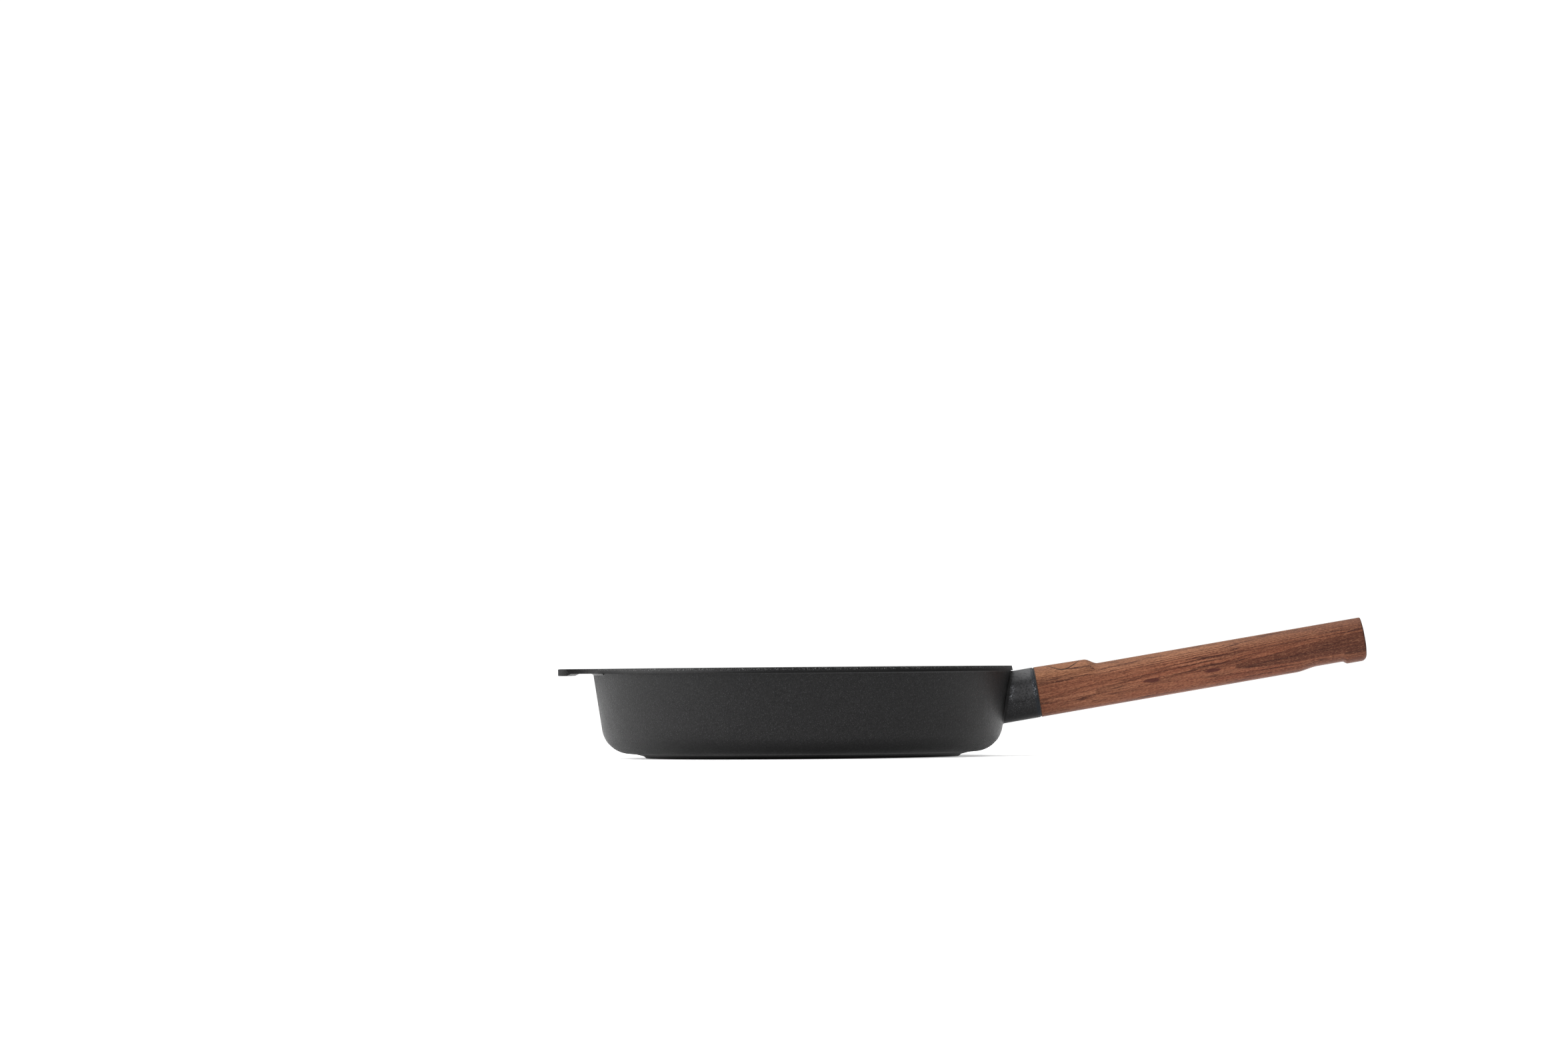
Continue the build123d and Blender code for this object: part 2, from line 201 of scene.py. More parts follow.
def tidy_mesh(obj, merge=1e-6, sharp_deg=35.0):
    """Merges doubled points, turns the faces outwards and marks sharp edges."""
    bm = bmesh.new()
    bm.from_mesh(obj.data)
    bmesh.ops.remove_doubles(bm, verts=bm.verts, dist=merge)
    bmesh.ops.recalc_face_normals(bm, faces=bm.faces)
    limit = math.radians(sharp_deg)
    for edge in bm.edges:
        if len(edge.link_faces) == 2:
            edge.smooth = edge.calc_face_angle(0.0) < limit
    bm.to_mesh(obj.data)
    bm.free()


def clamp(x):
    return min(1.0, max(0.0, x))


def ease(x, start, end):
    return (1 - math.cos(math.pi * clamp((x - start) / (end - start)))) / 2


# ---------------------------------------------------------------------------
# The wooden grip
# ---------------------------------------------------------------------------
def grip_top(along):
    pad = PAD_HEIGHT - PAD_FALL * along / PAD_LENGTH
    return GRIP_HALF_HEIGHT + pad * (1 - ease(along, PAD_LENGTH, PAD_SLOPE_END))


def grip_bottom(along):
    entry = ease(along, SCOOP_START, SCOOP_FLOOR_START)
    leave = ease(along, SCOOP_FLOOR_END, SCOOP_END)
    return -GRIP_HALF_HEIGHT + SCOOP_DEPTH * (entry - leave)


def section_point(theta, along, inset=0.0):
    """A point of the grip's rounded section, at an angle from straight across."""
    top, bottom = grip_top(along), grip_bottom(along)
    half_height = (top - bottom) / 2 - inset
    half_width = GRIP_HALF_WIDTH - inset
    c, s = math.cos(theta), math.sin(theta)
    power = 2 / SECTION_POWER
    across = half_width * math.copysign(abs(c) ** power, c)
    up = half_height * math.copysign(abs(s) ** power, s)
    return across, (top + bottom) / 2 + up


def section_loop(along, inset=lambda angle: 0.0):
    """Points round the section, evenly spaced along it, with an inset that may vary by angle."""
    fine = [FULL_TURN * i / SECTION_STEPS for i in range(SECTION_STEPS + 1)]
    raw = [section_point(a, along) for a in fine]
    steps = [math.dist(raw[i], raw[i + 1]) for i in range(SECTION_STEPS)]
    lengths = np.concatenate([[0], np.cumsum(steps)])
    wanted = np.linspace(0, lengths[-1], GRIP_AROUND, endpoint=False)
    angles = np.interp(wanted, lengths, fine)
    return [section_point(angle, along, inset(angle)) for angle in angles]


def end_rounding(angle):
    """The grip's end is fairly sharp, and rounder at its lower corner."""
    low = max(0.0, -math.sin(angle)) ** 2
    return END_EDGE + (END_HEEL - END_EDGE) * low


def grip_stations():
    """Places along the grip for its rings, closer together where its outline bends."""
    runs = (
        (FRONT_EDGE, 14), (PAD_LENGTH - PAD_BLEND, 30), (PAD_SLOPE_END + PAD_BLEND, 50), (SCOOP_START, 24),
        (SCOOP_FLOOR_START, 12), (SCOOP_FLOOR_END, 18), (SCOOP_END, 8),
    )
    ends = [start for start, _ in runs[1:]] + [GRIP_LENGTH - END_CROWN - END_HEEL]
    stations = []
    for (start, count), end in zip(runs, ends):
        stations += list(np.linspace(start, end, count, endpoint=False))
    return stations


def side_rings():
    """The rounded front edge and the long outside."""
    rings = []
    for turn in (0.0, 0.5, 1.0):
        angle = turn * math.pi / 2
        inset = FRONT_EDGE * (1 - math.sin(angle))
        along = FRONT_EDGE * (1 - math.cos(angle))
        rings.append([(a, u, along) for a, u in section_loop(along, lambda _: inset)])
    for along in grip_stations()[1:]:
        rings.append([(a, u, along) for a, u in section_loop(along)])
    return rings


def edge_rings():
    """The rounded end edge: each angle has its own radius, and stops short where the crown begins."""
    corner = GRIP_LENGTH - END_CROWN
    last_turn = math.pi / 2 - math.atan(2 * END_CROWN / GRIP_HALF_HEIGHT)
    rings = []
    for step in range(END_STEPS + 1):
        turn = last_turn * step / END_STEPS
        ring = []
        for a, u in section_loop(corner, lambda t: end_rounding(t) * (1 - math.cos(turn))):
            angle = math.atan2(u / GRIP_HALF_HEIGHT, a / GRIP_HALF_WIDTH)
            ring.append((a, u, corner - end_rounding(angle) * (1 - math.sin(turn))))
        rings.append(ring)
    return rings


def crown_rings(outline, mouth):
    """The crowned end, shrinking to the round mouth of the cup."""
    rings = []
    for share in CROWN_SHARES:
        ring = []
        for (a, u, s), (mouth_a, mouth_u) in zip(outline, mouth):
            wider = 1 + CUP_MOUTH_EDGE / CUP_RADIUS
            at_a, at_u = a + (mouth_a * wider - a) * share, u + (mouth_u * wider - u) * share
            crown = END_CROWN * (1 - (math.hypot(at_a, at_u) / math.hypot(a, u)) ** 2)
            ring.append((at_a, at_u, s + crown))
        rings.append(ring)
    return rings


def bore_rings(mouth, crown):
    """Down the counterbore, the bore and the clip's pocket, to the front face."""
    wider = 1 + 0.3 * CUP_MOUTH_EDGE / CUP_RADIUS
    rings = [[(a * wider, u * wider, s - CUP_MOUTH_DROP) for (a, u), (_, _, s) in zip(mouth, crown)]]
    mouth_along = crown[0][2]
    for radius, along in (
        (CUP_RADIUS, mouth_along - CUP_MOUTH_EDGE - CUP_MOUTH_BEVEL), (CUP_RADIUS, CUP_SEAT),
        (BORE_RADIUS, CUP_SEAT), (BORE_RADIUS, CLIP_POCKET_DEPTH),
        (CLIP_POCKET_RADIUS, CLIP_POCKET_DEPTH), (CLIP_POCKET_RADIUS, 0.0),
    ):
        rings.append([(a / CUP_RADIUS * radius, u / CUP_RADIUS * radius, along) for a, u in mouth])
    return rings


def add_sleeve_hole(skin, centre):
    """A blind hole in the front face. Returns the point numbers of its mouth."""
    loop = []
    for t in np.linspace(0, FULL_TURN, SLEEVE_AROUND, endpoint=False):
        a, u = polar(SLEEVE_RADIUS, t)
        loop.append((centre[0] + a, centre[1] + u))
    mouth, floor = skin.tube([[(a, u, 0.0) for a, u in loop], [(a, u, SLEEVE_LENGTH) for a, u in loop]])
    skin.faces.append(tuple(floor))
    return mouth


def add_front_face(skin, outer, pocket):
    """The front face, with the pocket's mouth and the two sleeve holes left open."""
    pins = [(side * PIN_OFFSET[0], side * PIN_OFFSET[1]) for side in (1, -1)]
    loops = [outer, pocket] + [add_sleeve_hole(skin, pin) for pin in pins]
    flat, edges, back = [], [], []
    for loop in loops:
        start = len(flat)
        flat.extend(Vector(skin.verts[i][:2]) for i in loop)
        back.extend(loop)
        edges.extend((start + i, start + (i + 1) % len(loop)) for i in range(len(loop)))
    points, _, triangles, originals, _, _ = delaunay_2d_cdt(flat, edges, [], 0, 1e-9)
    openings = [(0.0, 0.0, CLIP_POCKET_RADIUS)] + [(*pin, SLEEVE_RADIUS) for pin in pins]
    for tri in triangles:
        mid = sum((points[i] for i in tri), Vector((0, 0))) / len(tri)
        if all(math.hypot(mid.x - x, mid.y - y) >= radius for x, y, radius in openings):
            skin.faces.append(tuple(back[originals[i][0]] for i in tri))


def wooden_grip():
    outside = side_rings() + edge_rings()
    outline = outside[-1]
    mouth = []
    for a, u, _ in outline:
        length = math.hypot(a, u)
        mouth.append((a / length * CUP_RADIUS, u / length * CUP_RADIUS))
    crown = crown_rings(outline, mouth)
    skin = Skin()
    numbers = skin.tube(outside + crown + bore_rings(mouth, crown[-1]))
    add_front_face(skin, numbers[0], numbers[-1])

    obj = mesh_object("grip_wood", [on_handle(*v) for v in skin.verts], skin.faces)
    tidy_mesh(obj)
    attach(obj, "grip")
    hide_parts("wooden_grip")
    return obj


# ---------------------------------------------------------------------------
# The tie bolt, with a real thread and a knurled head
# ---------------------------------------------------------------------------
def bolt_radius(along, angle):
    """Radius of the shank at a place on it: a trapezoid thread with run-outs, a groove and a plain shank."""
    if GROOVE_START <= along <= GROOVE_END:
        return GROOVE_RADIUS
    phase = (along / THREAD_PITCH - angle / FULL_TURN) % 1.0
    depth = THREAD_DEPTH * clamp((abs(phase - 0.5) - THREAD_CREST) / THREAD_FLANK)
    tip = min(1.0, (along - BOLT_TIP) / TIP_LENGTH)
    runout = 1 - ease(along, THREAD_END - THREAD_RUNOUT, THREAD_END)
    return min(THREAD_RADIUS - depth * runout, THREAD_RADIUS - TIP_DROP * (1 - tip))


def shank_rings(angles):
    stations = list(np.arange(BOLT_TIP, THREAD_END, THREAD_PITCH / STEPS_PER_PITCH))
    stations += [GROOVE_START - GROOVE_WALL, GROOVE_START, GROOVE_END, GROOVE_END + GROOVE_WALL]
    stations = sorted(stations) + [THREAD_END, THREAD_END + 2 * MM, HEAD_START - 0.5 * MM]
    face = TIP_FACE * bolt_radius(BOLT_TIP, 0)
    rings = [[(*polar(face, t), BOLT_TIP) for t in angles]]
    rings += [[(*polar(bolt_radius(along, t), t), along) for t in angles] for along in stations]
    return rings


def head_rings(angles):
    """A fillet, the bearing face, and a chamfered and knurled side."""
    rings = []
    for turn in (0.3, 0.6, 1.0):
        t = turn * math.pi / 2
        radius = THREAD_RADIUS + HEAD_FILLET * (1 - math.cos(t))
        along = HEAD_START - HEAD_FILLET * (1 - math.sin(t))
        rings.append([(*polar(radius, a), along) for a in angles])
    top = HEAD_START + HEAD_HEIGHT
    outline = [    # how far inside the head's radius, place along, knurled
        (0.5 * MM, HEAD_START, False), (0.15 * MM, HEAD_START + 0.1 * MM, False),
        (0.0, HEAD_START + 0.4 * MM, False), (0.0, HEAD_START + 0.9 * MM, True),
        (0.0, top - 2.0 * MM, True), (0.0, top - 1.5 * MM, False), (0.0, top - 0.8 * MM, False),
        (0.25 * MM, top - 0.3 * MM, False), (0.7 * MM, top, False),
    ]
    for inside, along, knurled in outline:
        ring = []
        for i, a in enumerate(angles):
            radius = HEAD_RADIUS - inside - (KNURL_DEPTH if knurled and i % 2 else 0)
            ring.append((*polar(radius, a), along))
        rings.append(ring)
    return rings


def socket_rings(angles):
    """The hexagon socket with a bevelled mouth and a drill point."""
    def hexagon(angle, flat):
        sector = (angle % (math.pi / 3)) - math.pi / 6
        return polar(flat / 2 / math.cos(sector), angle)
    top = HEAD_START + HEAD_HEIGHT
    steps = ((HEX_FLAT + HEX_BEVEL, top), (HEX_FLAT, top - HEX_BEVEL_DEPTH), (HEX_FLAT, top - HEX_DEPTH))
    rings = [[(*hexagon(a, flat), along) for a in angles] for flat, along in steps]
    rings.append([(*polar(DRILL_RADIUS, a), top - HEX_DEPTH - DRILL_DEPTH) for a in angles])
    return rings


def tie_bolt():
    angles = [FULL_TURN * i / BOLT_AROUND for i in range(BOLT_AROUND)]
    skin = Skin()
    numbers = skin.tube(shank_rings(angles) + head_rings(angles) + socket_rings(angles))
    skin.faces.append(tuple(numbers[0]))
    skin.faces.append(tuple(numbers[-1]))
    obj = mesh_object("bolt_threaded", [on_handle(*v) for v in skin.verts], skin.faces)
    tidy_mesh(obj, merge=1e-7, sharp_deg=28)
    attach(obj, "bolt")
    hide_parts("tie_bolt")
    return obj


# ---------------------------------------------------------------------------
# Material helpers
# ---------------------------------------------------------------------------
class Graph:
    """Builds one material's nodes with little writing."""

    def __init__(self, name):
        self.material = bpy.data.materials.new(name)
        self.material.use_nodes = True
        self.tree = self.material.node_tree
        self.shader = self.tree.nodes["Principled BSDF"]

    def link(self, value, socket):
        if isinstance(value, bpy.types.NodeSocket):
            self.tree.links.new(value, socket)
        elif isinstance(value, (tuple, list)) and len(value) == 3 and socket.type == "RGBA":
            socket.default_value = (*value, 1)
        else:
            socket.default_value = value

    def node(self, kind, inputs=None, **settings):
        node = self.tree.nodes.new(kind)
        for key, value in settings.items():
            setattr(node, key, value)
        for key, value in (inputs or {}).items():
            self.link(value, node.inputs[key])
        return node

    def coords(self):
        return self.node("ShaderNodeTexCoord").outputs["Object"]

    def split(self, vector):
        return self.node("ShaderNodeSeparateXYZ", {"Vector": vector}).outputs

    def math(self, operation, a, b=0.0, c=None):
        node = self.node("ShaderNodeMath", operation=operation)
        self.link(a, node.inputs[0])
        self.link(b, node.inputs[1])
        if c is not None:
            self.link(c, node.inputs[2])
        return node.outputs[0]

    def add(self, a, b):
        return self.math("ADD", a, b)

    def minus(self, a, b):
        return self.math("SUBTRACT", a, b)

    def larger(self, a, b):
        return self.math("MAXIMUM", a, b)

    def times(self, *factors):
        result = factors[0]
        for factor in factors[1:]:
            result = self.math("MULTIPLY", result, factor)
        return result

    def distance(self, value, centre):
        return self.math("ABSOLUTE", self.minus(value, centre))

    def length(self, a, b):
        return self.math("SQRT", self.add(self.times(a, a), self.times(b, b)))

    def near(self, value, centre, inner, outer):
        """One within the inner distance of the centre, falling to nothing at the outer one."""
        return self.remap(self.distance(value, centre), outer, inner)

    def mapping(self, vector, scale):
        return self.node("ShaderNodeMapping", {"Vector": vector, "Scale": scale}).outputs[0]

    def noise(self, vector, scale, detail, roughness):
        return self.node("ShaderNodeTexNoise", {
            "Vector": vector, "Scale": scale, "Detail": detail, "Roughness": roughness,
        }).outputs["Fac"]

    def remap(self, value, low, high, to_low=0.0, to_high=1.0, smooth=False):
        node = self.node("ShaderNodeMapRange", {
            "Value": value, "From Min": low, "From Max": high, "To Min": to_low, "To Max": to_high,
        }, interpolation_type="SMOOTHSTEP" if smooth else "LINEAR")
        return node.outputs[0]

    def mix(self, factor, a, b, blend="MIX"):
        node = self.node("ShaderNodeMix", data_type="RGBA", blend_type=blend)
        self.link(factor, node.inputs["Factor"])
        self.link(a, node.inputs[6])
        self.link(b, node.inputs[7])
        return node.outputs[2]

    def ramp(self, value, stops):
        node = self.node("ShaderNodeValToRGB", {"Fac": value})
        ramp = node.color_ramp
        while len(ramp.elements) < len(stops):
            ramp.elements.new(0.5)
        for element, (place, colour) in zip(ramp.elements, stops):
            element.position = place
            element.color = (*colour, 1)
        return node.outputs[0]

    def bump(self, height, distance, strength, normal=None):
        inputs = {"Height": height, "Distance": distance, "Strength": strength}
        if normal is not None:
            inputs["Normal"] = normal
        return self.node("ShaderNodeBump", inputs).outputs[0]

    def set(self, **values):
        for key, value in values.items():
            self.link(value, self.shader.inputs[key.replace("_", " ")])


# ---------------------------------------------------------------------------
# Materials
# ---------------------------------------------------------------------------
def handle_coords(g):
    """(along, across, up) in the handle's frame, and the three as one vector."""
    angle = math.atan2(ALONG.z, ALONG.x)
    shifted = g.node("ShaderNodeVectorMath", {0: g.coords(), 1: tuple(HANDLE_ORIGIN)}, operation="SUBTRACT")
    level = g.node("ShaderNodeVectorRotate", {
        "Vector": shifted.outputs[0], "Axis": (0, 1, 0), "Angle": angle}, rotation_type="AXIS_ANGLE").outputs[0]
    return (*g.split(level), level)


def iron_places(g):
    """Where a point of the casting is, and the noises that its sand-cast grain is made of."""
    where = g.coords()
    x, y, z = g.split(where)
    along, across, up, _ = handle_coords(g)
    return SimpleNamespace(
        x=x, y=y, z=z, along=along, across=across, up=up, reach=g.length(x, y),
        past=g.minus(x, g.times(g.minus(z, RIM_LINE), WALL_LEAN)),
        grit=g.noise(where, 1500, 3, 0.6),
        pebble=g.noise(where, 620, 2, 0.55),
        peel=g.noise(where, 150, 2, 0.5),
        cloud=g.noise(where, 34, 3, 0.55),
        glint_fleck=g.remap(g.noise(where, 1700, 1, 0.4), 0.58, 0.76),
    )


def iron_grain(g, p):
    tone = g.add(g.times(p.grit, 0.6), g.times(p.pebble, 0.4))
    pit, peak = (0.0008, 0.0008, 0.0010), (0.0125, 0.0125, 0.0128)
    base = g.ramp(g.remap(tone, 0.3, 0.7), [(0.0, pit), (1.0, peak)])
    base = g.mix(g.remap(p.cloud, 0.3, 0.7, 0.0, 0.35), base, (0.0075, 0.0075, 0.0078))
    # bright flecks painted into the colour as glints; in the roughness they are also smoother
    return g.mix(g.times(p.glint_fleck, 0.42), base, (0.050, 0.050, 0.052))


def neck_painted_light(g, p, base):
    """Painted light and shade on the neck: painted lighter than the wall, with painted shade on its underside,
    a painted light band along its side, a paler painted top lit from above, a painted bluish reflection at its
    end, and painted glints at both ends.
    """
    neck = g.remap(p.past, NECK_START, NECK_START + 1.2 * MM)
    # painted light: the whole neck lighter than the wall
    base = g.mix(neck, base, (2.4, 2.4, 2.45), blend="MULTIPLY")
    # painted shade on the neck's underside
    low = g.remap(p.up, -3 * MM, -11 * MM, 0.0, 0.6)
    base = g.mix(g.times(neck, low), base, (0.0030, 0.0030, 0.0032))
    # painted light: a lighter, mottled band along the middle of the neck's side
    middle = g.near(p.up, 5 * MM, 3 * MM, 6.5 * MM)
    mottle = g.remap(p.pebble, 0.35, 0.6, 0.2, 0.75)
    base = g.mix(g.times(neck, middle, mottle), base, (0.050, 0.050, 0.052))
    # painted light from above on the neck's top
    crown = g.remap(p.up, 9.5 * MM, 14.5 * MM, smooth=True)
    base = g.mix(g.times(neck, crown, g.remap(p.pebble, 0.3, 0.6, 0.35, 0.75)), base, (0.080, 0.080, 0.082))
    # painted reflection: bluish at the neck's end by the grip
    base = g.mix(g.remap(p.along, -3.2 * MM, -2.2 * MM, 0.0, 0.75), base, (0.010, 0.013, 0.017))
    # painted glints where the neck meets the wall and the grip
    at_wall = g.times(neck, g.remap(p.past, NECK_START + 4.5 * MM, NECK_START + 1.5 * MM))
    at_grip = g.remap(p.along, -3.4 * MM, -2.4 * MM)
    neck_painted_glint = g.times(g.larger(at_wall, at_grip), middle, g.remap(p.grit, 0.50, 0.66))
    return g.mix(g.times(neck_painted_glint, 0.8), base, (0.22, 0.23, 0.25))


def painted_corner_shade(g, p, base):
    """Painted shade in the corner between the wall and the neck."""
    beside = g.larger(g.minus(g.distance(p.across, 0.0), GRIP_HALF_WIDTH),
                      g.minus(g.distance(p.up, 0.0), GRIP_HALF_HEIGHT))
    corner = g.times(g.remap(beside, 22 * MM, 0.0, smooth=True), g.remap(p.x, CORNER_SHADE_START, CORNER_SHADE_FULL),
                     g.remap(p.past, NECK_START, NECK_START - 1 * MM))
    # painted shade in the corner beside the neck
    return g.mix(g.times(corner, 0.8), base, (0.0012, 0.0012, 0.0012))


def iron_rim(g, p, base):
    """The turned rim: painted darker as shade, with a painted glint near its top, a painted dark line for the
    shade of a fine groove, and a painted highlight line under it.
    """
    rim = g.times(g.remap(p.z, RIM_LINE - 0.1 * MM, RIM_LINE + 0.1 * MM),
                  g.remap(p.reach, RIM_RADIUS + 1.2 * MM, RIM_RADIUS + 0.4 * MM))
    # painted shade: the rim band darker
    base = g.mix(g.times(rim, 0.55), base, (0.0040, 0.0040, 0.0042))
    # painted shade: a dark line standing in for the shade of a fine groove
    groove = g.near(p.z, RIM_LINE + 0.3 * MM, 0.15 * MM, 0.45 * MM)
    base = g.mix(g.times(rim, groove, 0.9), base, (0.0004, 0.0004, 0.0004))
    # painted highlight: a paler line under the rim, stronger towards the right
    under = g.times(g.near(p.z, RIM_LINE - 0.45 * MM, 0.25 * MM, 0.55 * MM), g.remap(p.x, -100 * MM, 50 * MM))
    base = g.mix(g.times(under, 0.28), base, (0.060, 0.060, 0.062))
    # painted glint near the top of the rim band
    rim_painted_glint = g.times(rim, g.remap(p.z, RIM_LINE + 1.4 * MM, RIM_LINE + 2.2 * MM), g.remap(p.grit, 0.52, 0.68))
    return g.mix(g.times(rim_painted_glint, 0.55), base, (0.16, 0.16, 0.16)), rim


def iron_foot_shade(g, p):
    """How much painted shade: the outside of the wall's foot and the edge of the base disc are painted blacker,
    and are less glossy.
    """
    facing_x, facing_y, _ = g.split(g.node("ShaderNodeNewGeometry").outputs["Normal"])
    outward = g.add(g.times(facing_x, p.x), g.times(facing_y, p.y))
    return g.times(g.remap(outward, 0.0, 0.02), g.remap(p.z, FOOT_SHADE_TOP, 2 * MM))


def iron_turning(g, p, rim):
    """Height of the lathe's marks: rings on the base and the cooking surface, and lines on the rim."""
    base_face = g.math("LESS_THAN", g.distance(p.z, 0.0), 1.2 * MM)
    cooking = g.math("LESS_THAN", g.distance(p.z, COOKING_LEVEL), 0.4 * MM)
    rings = g.math("SINE", g.times(p.reach, FULL_TURN / FLOOR_TURNING))
    lines = g.times(g.math("SINE", g.times(p.z, FULL_TURN / RIM_TURNING)), 0.5)
    return g.add(g.times(g.add(base_face, g.times(cooking, 0.35)), rings), g.times(rim, lines))


def cast_iron():
    """Black seasoned iron: sand-cast grain with smoother bright flecks painted in as glints, and turned bands,
    with painted light and shade on the neck, in the corner, on the rim and at the foot.
    """
    g = Graph("black_cast_iron")
    p = iron_places(g)
    base = iron_grain(g, p)
    base = neck_painted_light(g, p, base)
    base = painted_corner_shade(g, p, base)
    base, rim = iron_rim(g, p, base)
    foot_shade = iron_foot_shade(g, p)
    # painted shade towards the foot
    base = g.mix(g.times(foot_shade, 0.85), base, (0.0006, 0.0006, 0.0006))
    rough = g.add(g.remap(p.grit, 0.3, 0.7, 0.38, 0.56), g.remap(p.cloud, 0.3, 0.7, -0.03, 0.03))
    rough = g.minus(rough, g.times(p.glint_fleck, 0.15))
    normal = g.bump(p.peel, 0.06 * MM, 0.6)
    normal = g.bump(iron_turning(g, p, rim), 0.01 * MM, 0.6, normal)
    normal = g.bump(p.pebble, 0.08 * MM, 0.9, normal)
    normal = g.bump(p.grit, 0.07 * MM, 0.9, normal)
    # less glossy where the foot shade is painted
    gloss = g.remap(foot_shade, 0.0, 1.0, 0.12, 0.02)
    g.set(Base_Color=base, Roughness=rough, Normal=normal, Specular_IOR_Level=gloss)
    return g.material


def wood_places(g):
    """Where a point of the grip is, in the handle's frame and in the tree, and how wavy the tree is there."""
    along, across, up, level = handle_coords(g)
    fine_wave = g.noise(g.mapping(level, (60, 330, 330)), 1.0, 3, 0.55)
    long_wave = g.noise(g.mapping(level, (11, 60, 60)), 1.0, 2, 0.5)
    pith_up = g.add(PEAK_UP - PEAK_CLIMB * PEAK_ALONG, g.times(along, PEAK_CLIMB))
    return SimpleNamespace(
        along=along, across=across, up=up, fine_wave=fine_wave, lift=g.minus(up, pith_up),
        waves=g.add(g.remap(long_wave, 0.2, 0.8, -0.40 * MM, 0.40 * MM),
                    g.remap(fine_wave, 0.2, 0.8, -0.20 * MM, 0.20 * MM)),
        blotch=g.noise(g.mapping(level, (16, 70, 70)), 1.0, 2, 0.5),
    )


def growth_rings(g, w):
    """Growth rings: shells round the pith, wavy, and smaller towards the end.

    Sets how late in its year the wood is, whether it is inside the pointed figure, and a number for the year.
    """
    shell = g.length(g.minus(w.across, PITH_ACROSS), w.lift)
    off_centre = g.distance(w.lift, 0.0)
    calm = g.remap(off_centre, 2 * MM, 7 * MM, 0.25, 1.0)
    ring = g.math("MULTIPLY_ADD", w.waves, calm, g.minus(shell, g.times(w.along, TRUNK_TAPER)))
    first = -PITH_ACROSS - GRIP_HALF_WIDTH - TRUNK_TAPER * PEAK_ALONG
    count = g.math("DIVIDE", g.minus(ring, first), RING_STEP)
    late = g.remap(g.math("FRACT", count), 0.55, 0.96, smooth=True)
    shown = g.larger(g.remap(off_centre, 2 * MM, 6 * MM, 0.15, 1.0), g.remap(w.along, 100 * MM, 118 * MM))
    w.figure = g.times(g.math("LESS_THAN", count, 0.0), 0.8)
    w.late = g.larger(g.times(late, shown), w.figure)
    year = g.node("ShaderNodeCombineXYZ", {"X": g.math("FLOOR", count)}).outputs[0]
    w.year = g.noise(year, 0.71, 1, 0.5)


def wood_grain(g, w):
    """Finer marks run along the trunk with the same waves: streaks, veins, fibres, dashes and ray flecks."""
    follow = g.math("MULTIPLY_ADD", w.waves, 2.6, w.lift)

    def grain(lengthways, through, detail, seed):
        vector = g.node("ShaderNodeCombineXYZ", {
            "X": g.math("MULTIPLY_ADD", w.along, lengthways, seed), "Y": g.times(follow, through),
            "Z": g.times(w.across, through)}).outputs[0]
        return g.noise(vector, 1.0, detail, 0.6)
    w.streak = grain(11, 430, 4, 0)
    w.vein = g.near(grain(9, 420, 1, 51), 0.5, 0.008, 0.045)
    w.patch = grain(16, 260, 2, 5)
    w.fibre = grain(95, 1700, 3, 11)
    w.dash = grain(330, 1500, 2, 23)
    w.ray = grain(620, 2500, 2, 37)


def wood_colour(g, w):
    """Red-brown, painted lighter and tan on top as light from above, darker to the far end, with dark late
    wood, veins and pores.
    """
    dark, middle, light = (0.112, 0.039, 0.021), (0.188, 0.073, 0.039), (0.262, 0.116, 0.064)
    base = g.ramp(w.streak, [(0.30, dark), (0.5, middle), (0.70, light)])
    # painted light from above: the top lighter and tanner
    base = g.mix(g.remap(w.up, 7 * MM, 14 * MM, 0.0, 0.40), base, (0.255, 0.122, 0.056))
    red = g.times(g.remap(w.up, 9 * MM, 1 * MM), g.remap(w.blotch, 0.35, 0.65, 0.15, 0.6))
    base = g.mix(red, base, (0.155, 0.044, 0.024))
    base = g.mix(g.remap(w.along, 110 * MM, 215 * MM, 0.0, 0.62), base, (0.078, 0.024, 0.013))
    weight = g.times(w.late, g.larger(w.figure, g.remap(w.year, 0.35, 0.65, 0.6, 1.0)),
                     g.larger(w.figure, g.remap(w.patch, 0.34, 0.54, 0.55, 1.0)),
                     g.remap(w.along, 20 * MM, 110 * MM, 0.55, 1.0))
    base = g.mix(weight, base, (0.028, 0.007, 0.005))
    base = g.mix(g.times(w.vein, g.remap(w.patch, 0.36, 0.54, 0.30, 0.95)), base, (0.028, 0.008, 0.006))
    base = g.mix(g.remap(w.fibre, 0.50, 0.68, 0.0, 0.42), base, (0.036, 0.011, 0.007))
    base = g.mix(g.remap(w.dash, 0.52, 0.66, 0.0, 0.40), base, (0.036, 0.010, 0.006))
    base = g.mix(g.remap(w.ray, 0.52, 0.64, 0.0, 0.50), base, (0.034, 0.010, 0.006))
    return g.mix(g.remap(w.ray, 0.47, 0.34, 0.0, 0.20), base, (0.40, 0.20, 0.11))


def dark_marks(g, w, base):
    """Two spindle-shaped dark marks on the side that the photograph shows."""
    wobble = g.add(g.remap(w.fine_wave, 0.2, 0.8, -0.3, 0.3), g.remap(w.fibre, 0.2, 0.8, -0.25, 0.25))
    for along, up, half_length, half_height in KNOTS:
        far = g.length(g.math("DIVIDE", g.minus(w.along, along), half_length),
                       g.math("DIVIDE", g.minus(w.up, up), half_height))
        mark = g.remap(g.add(far, wobble), 0.82, 1.08, 1.0, 0.0)
        near_side = g.math("LESS_THAN", w.across, 0.0)
        base = g.mix(g.times(mark, near_side, 0.85), base, (0.040, 0.009, 0.008))
    return base


def end_grain(g, w, base):
    """End grain takes the oil and is darker."""
    end = g.larger(g.remap(w.along, GRIP_LENGTH - 1.9 * MM, GRIP_LENGTH - 1.3 * MM),
                   g.remap(w.along, 0.35 * MM, 0.1 * MM))
    return g.mix(g.times(end, 0.72), base, (0.030, 0.012, 0.008))


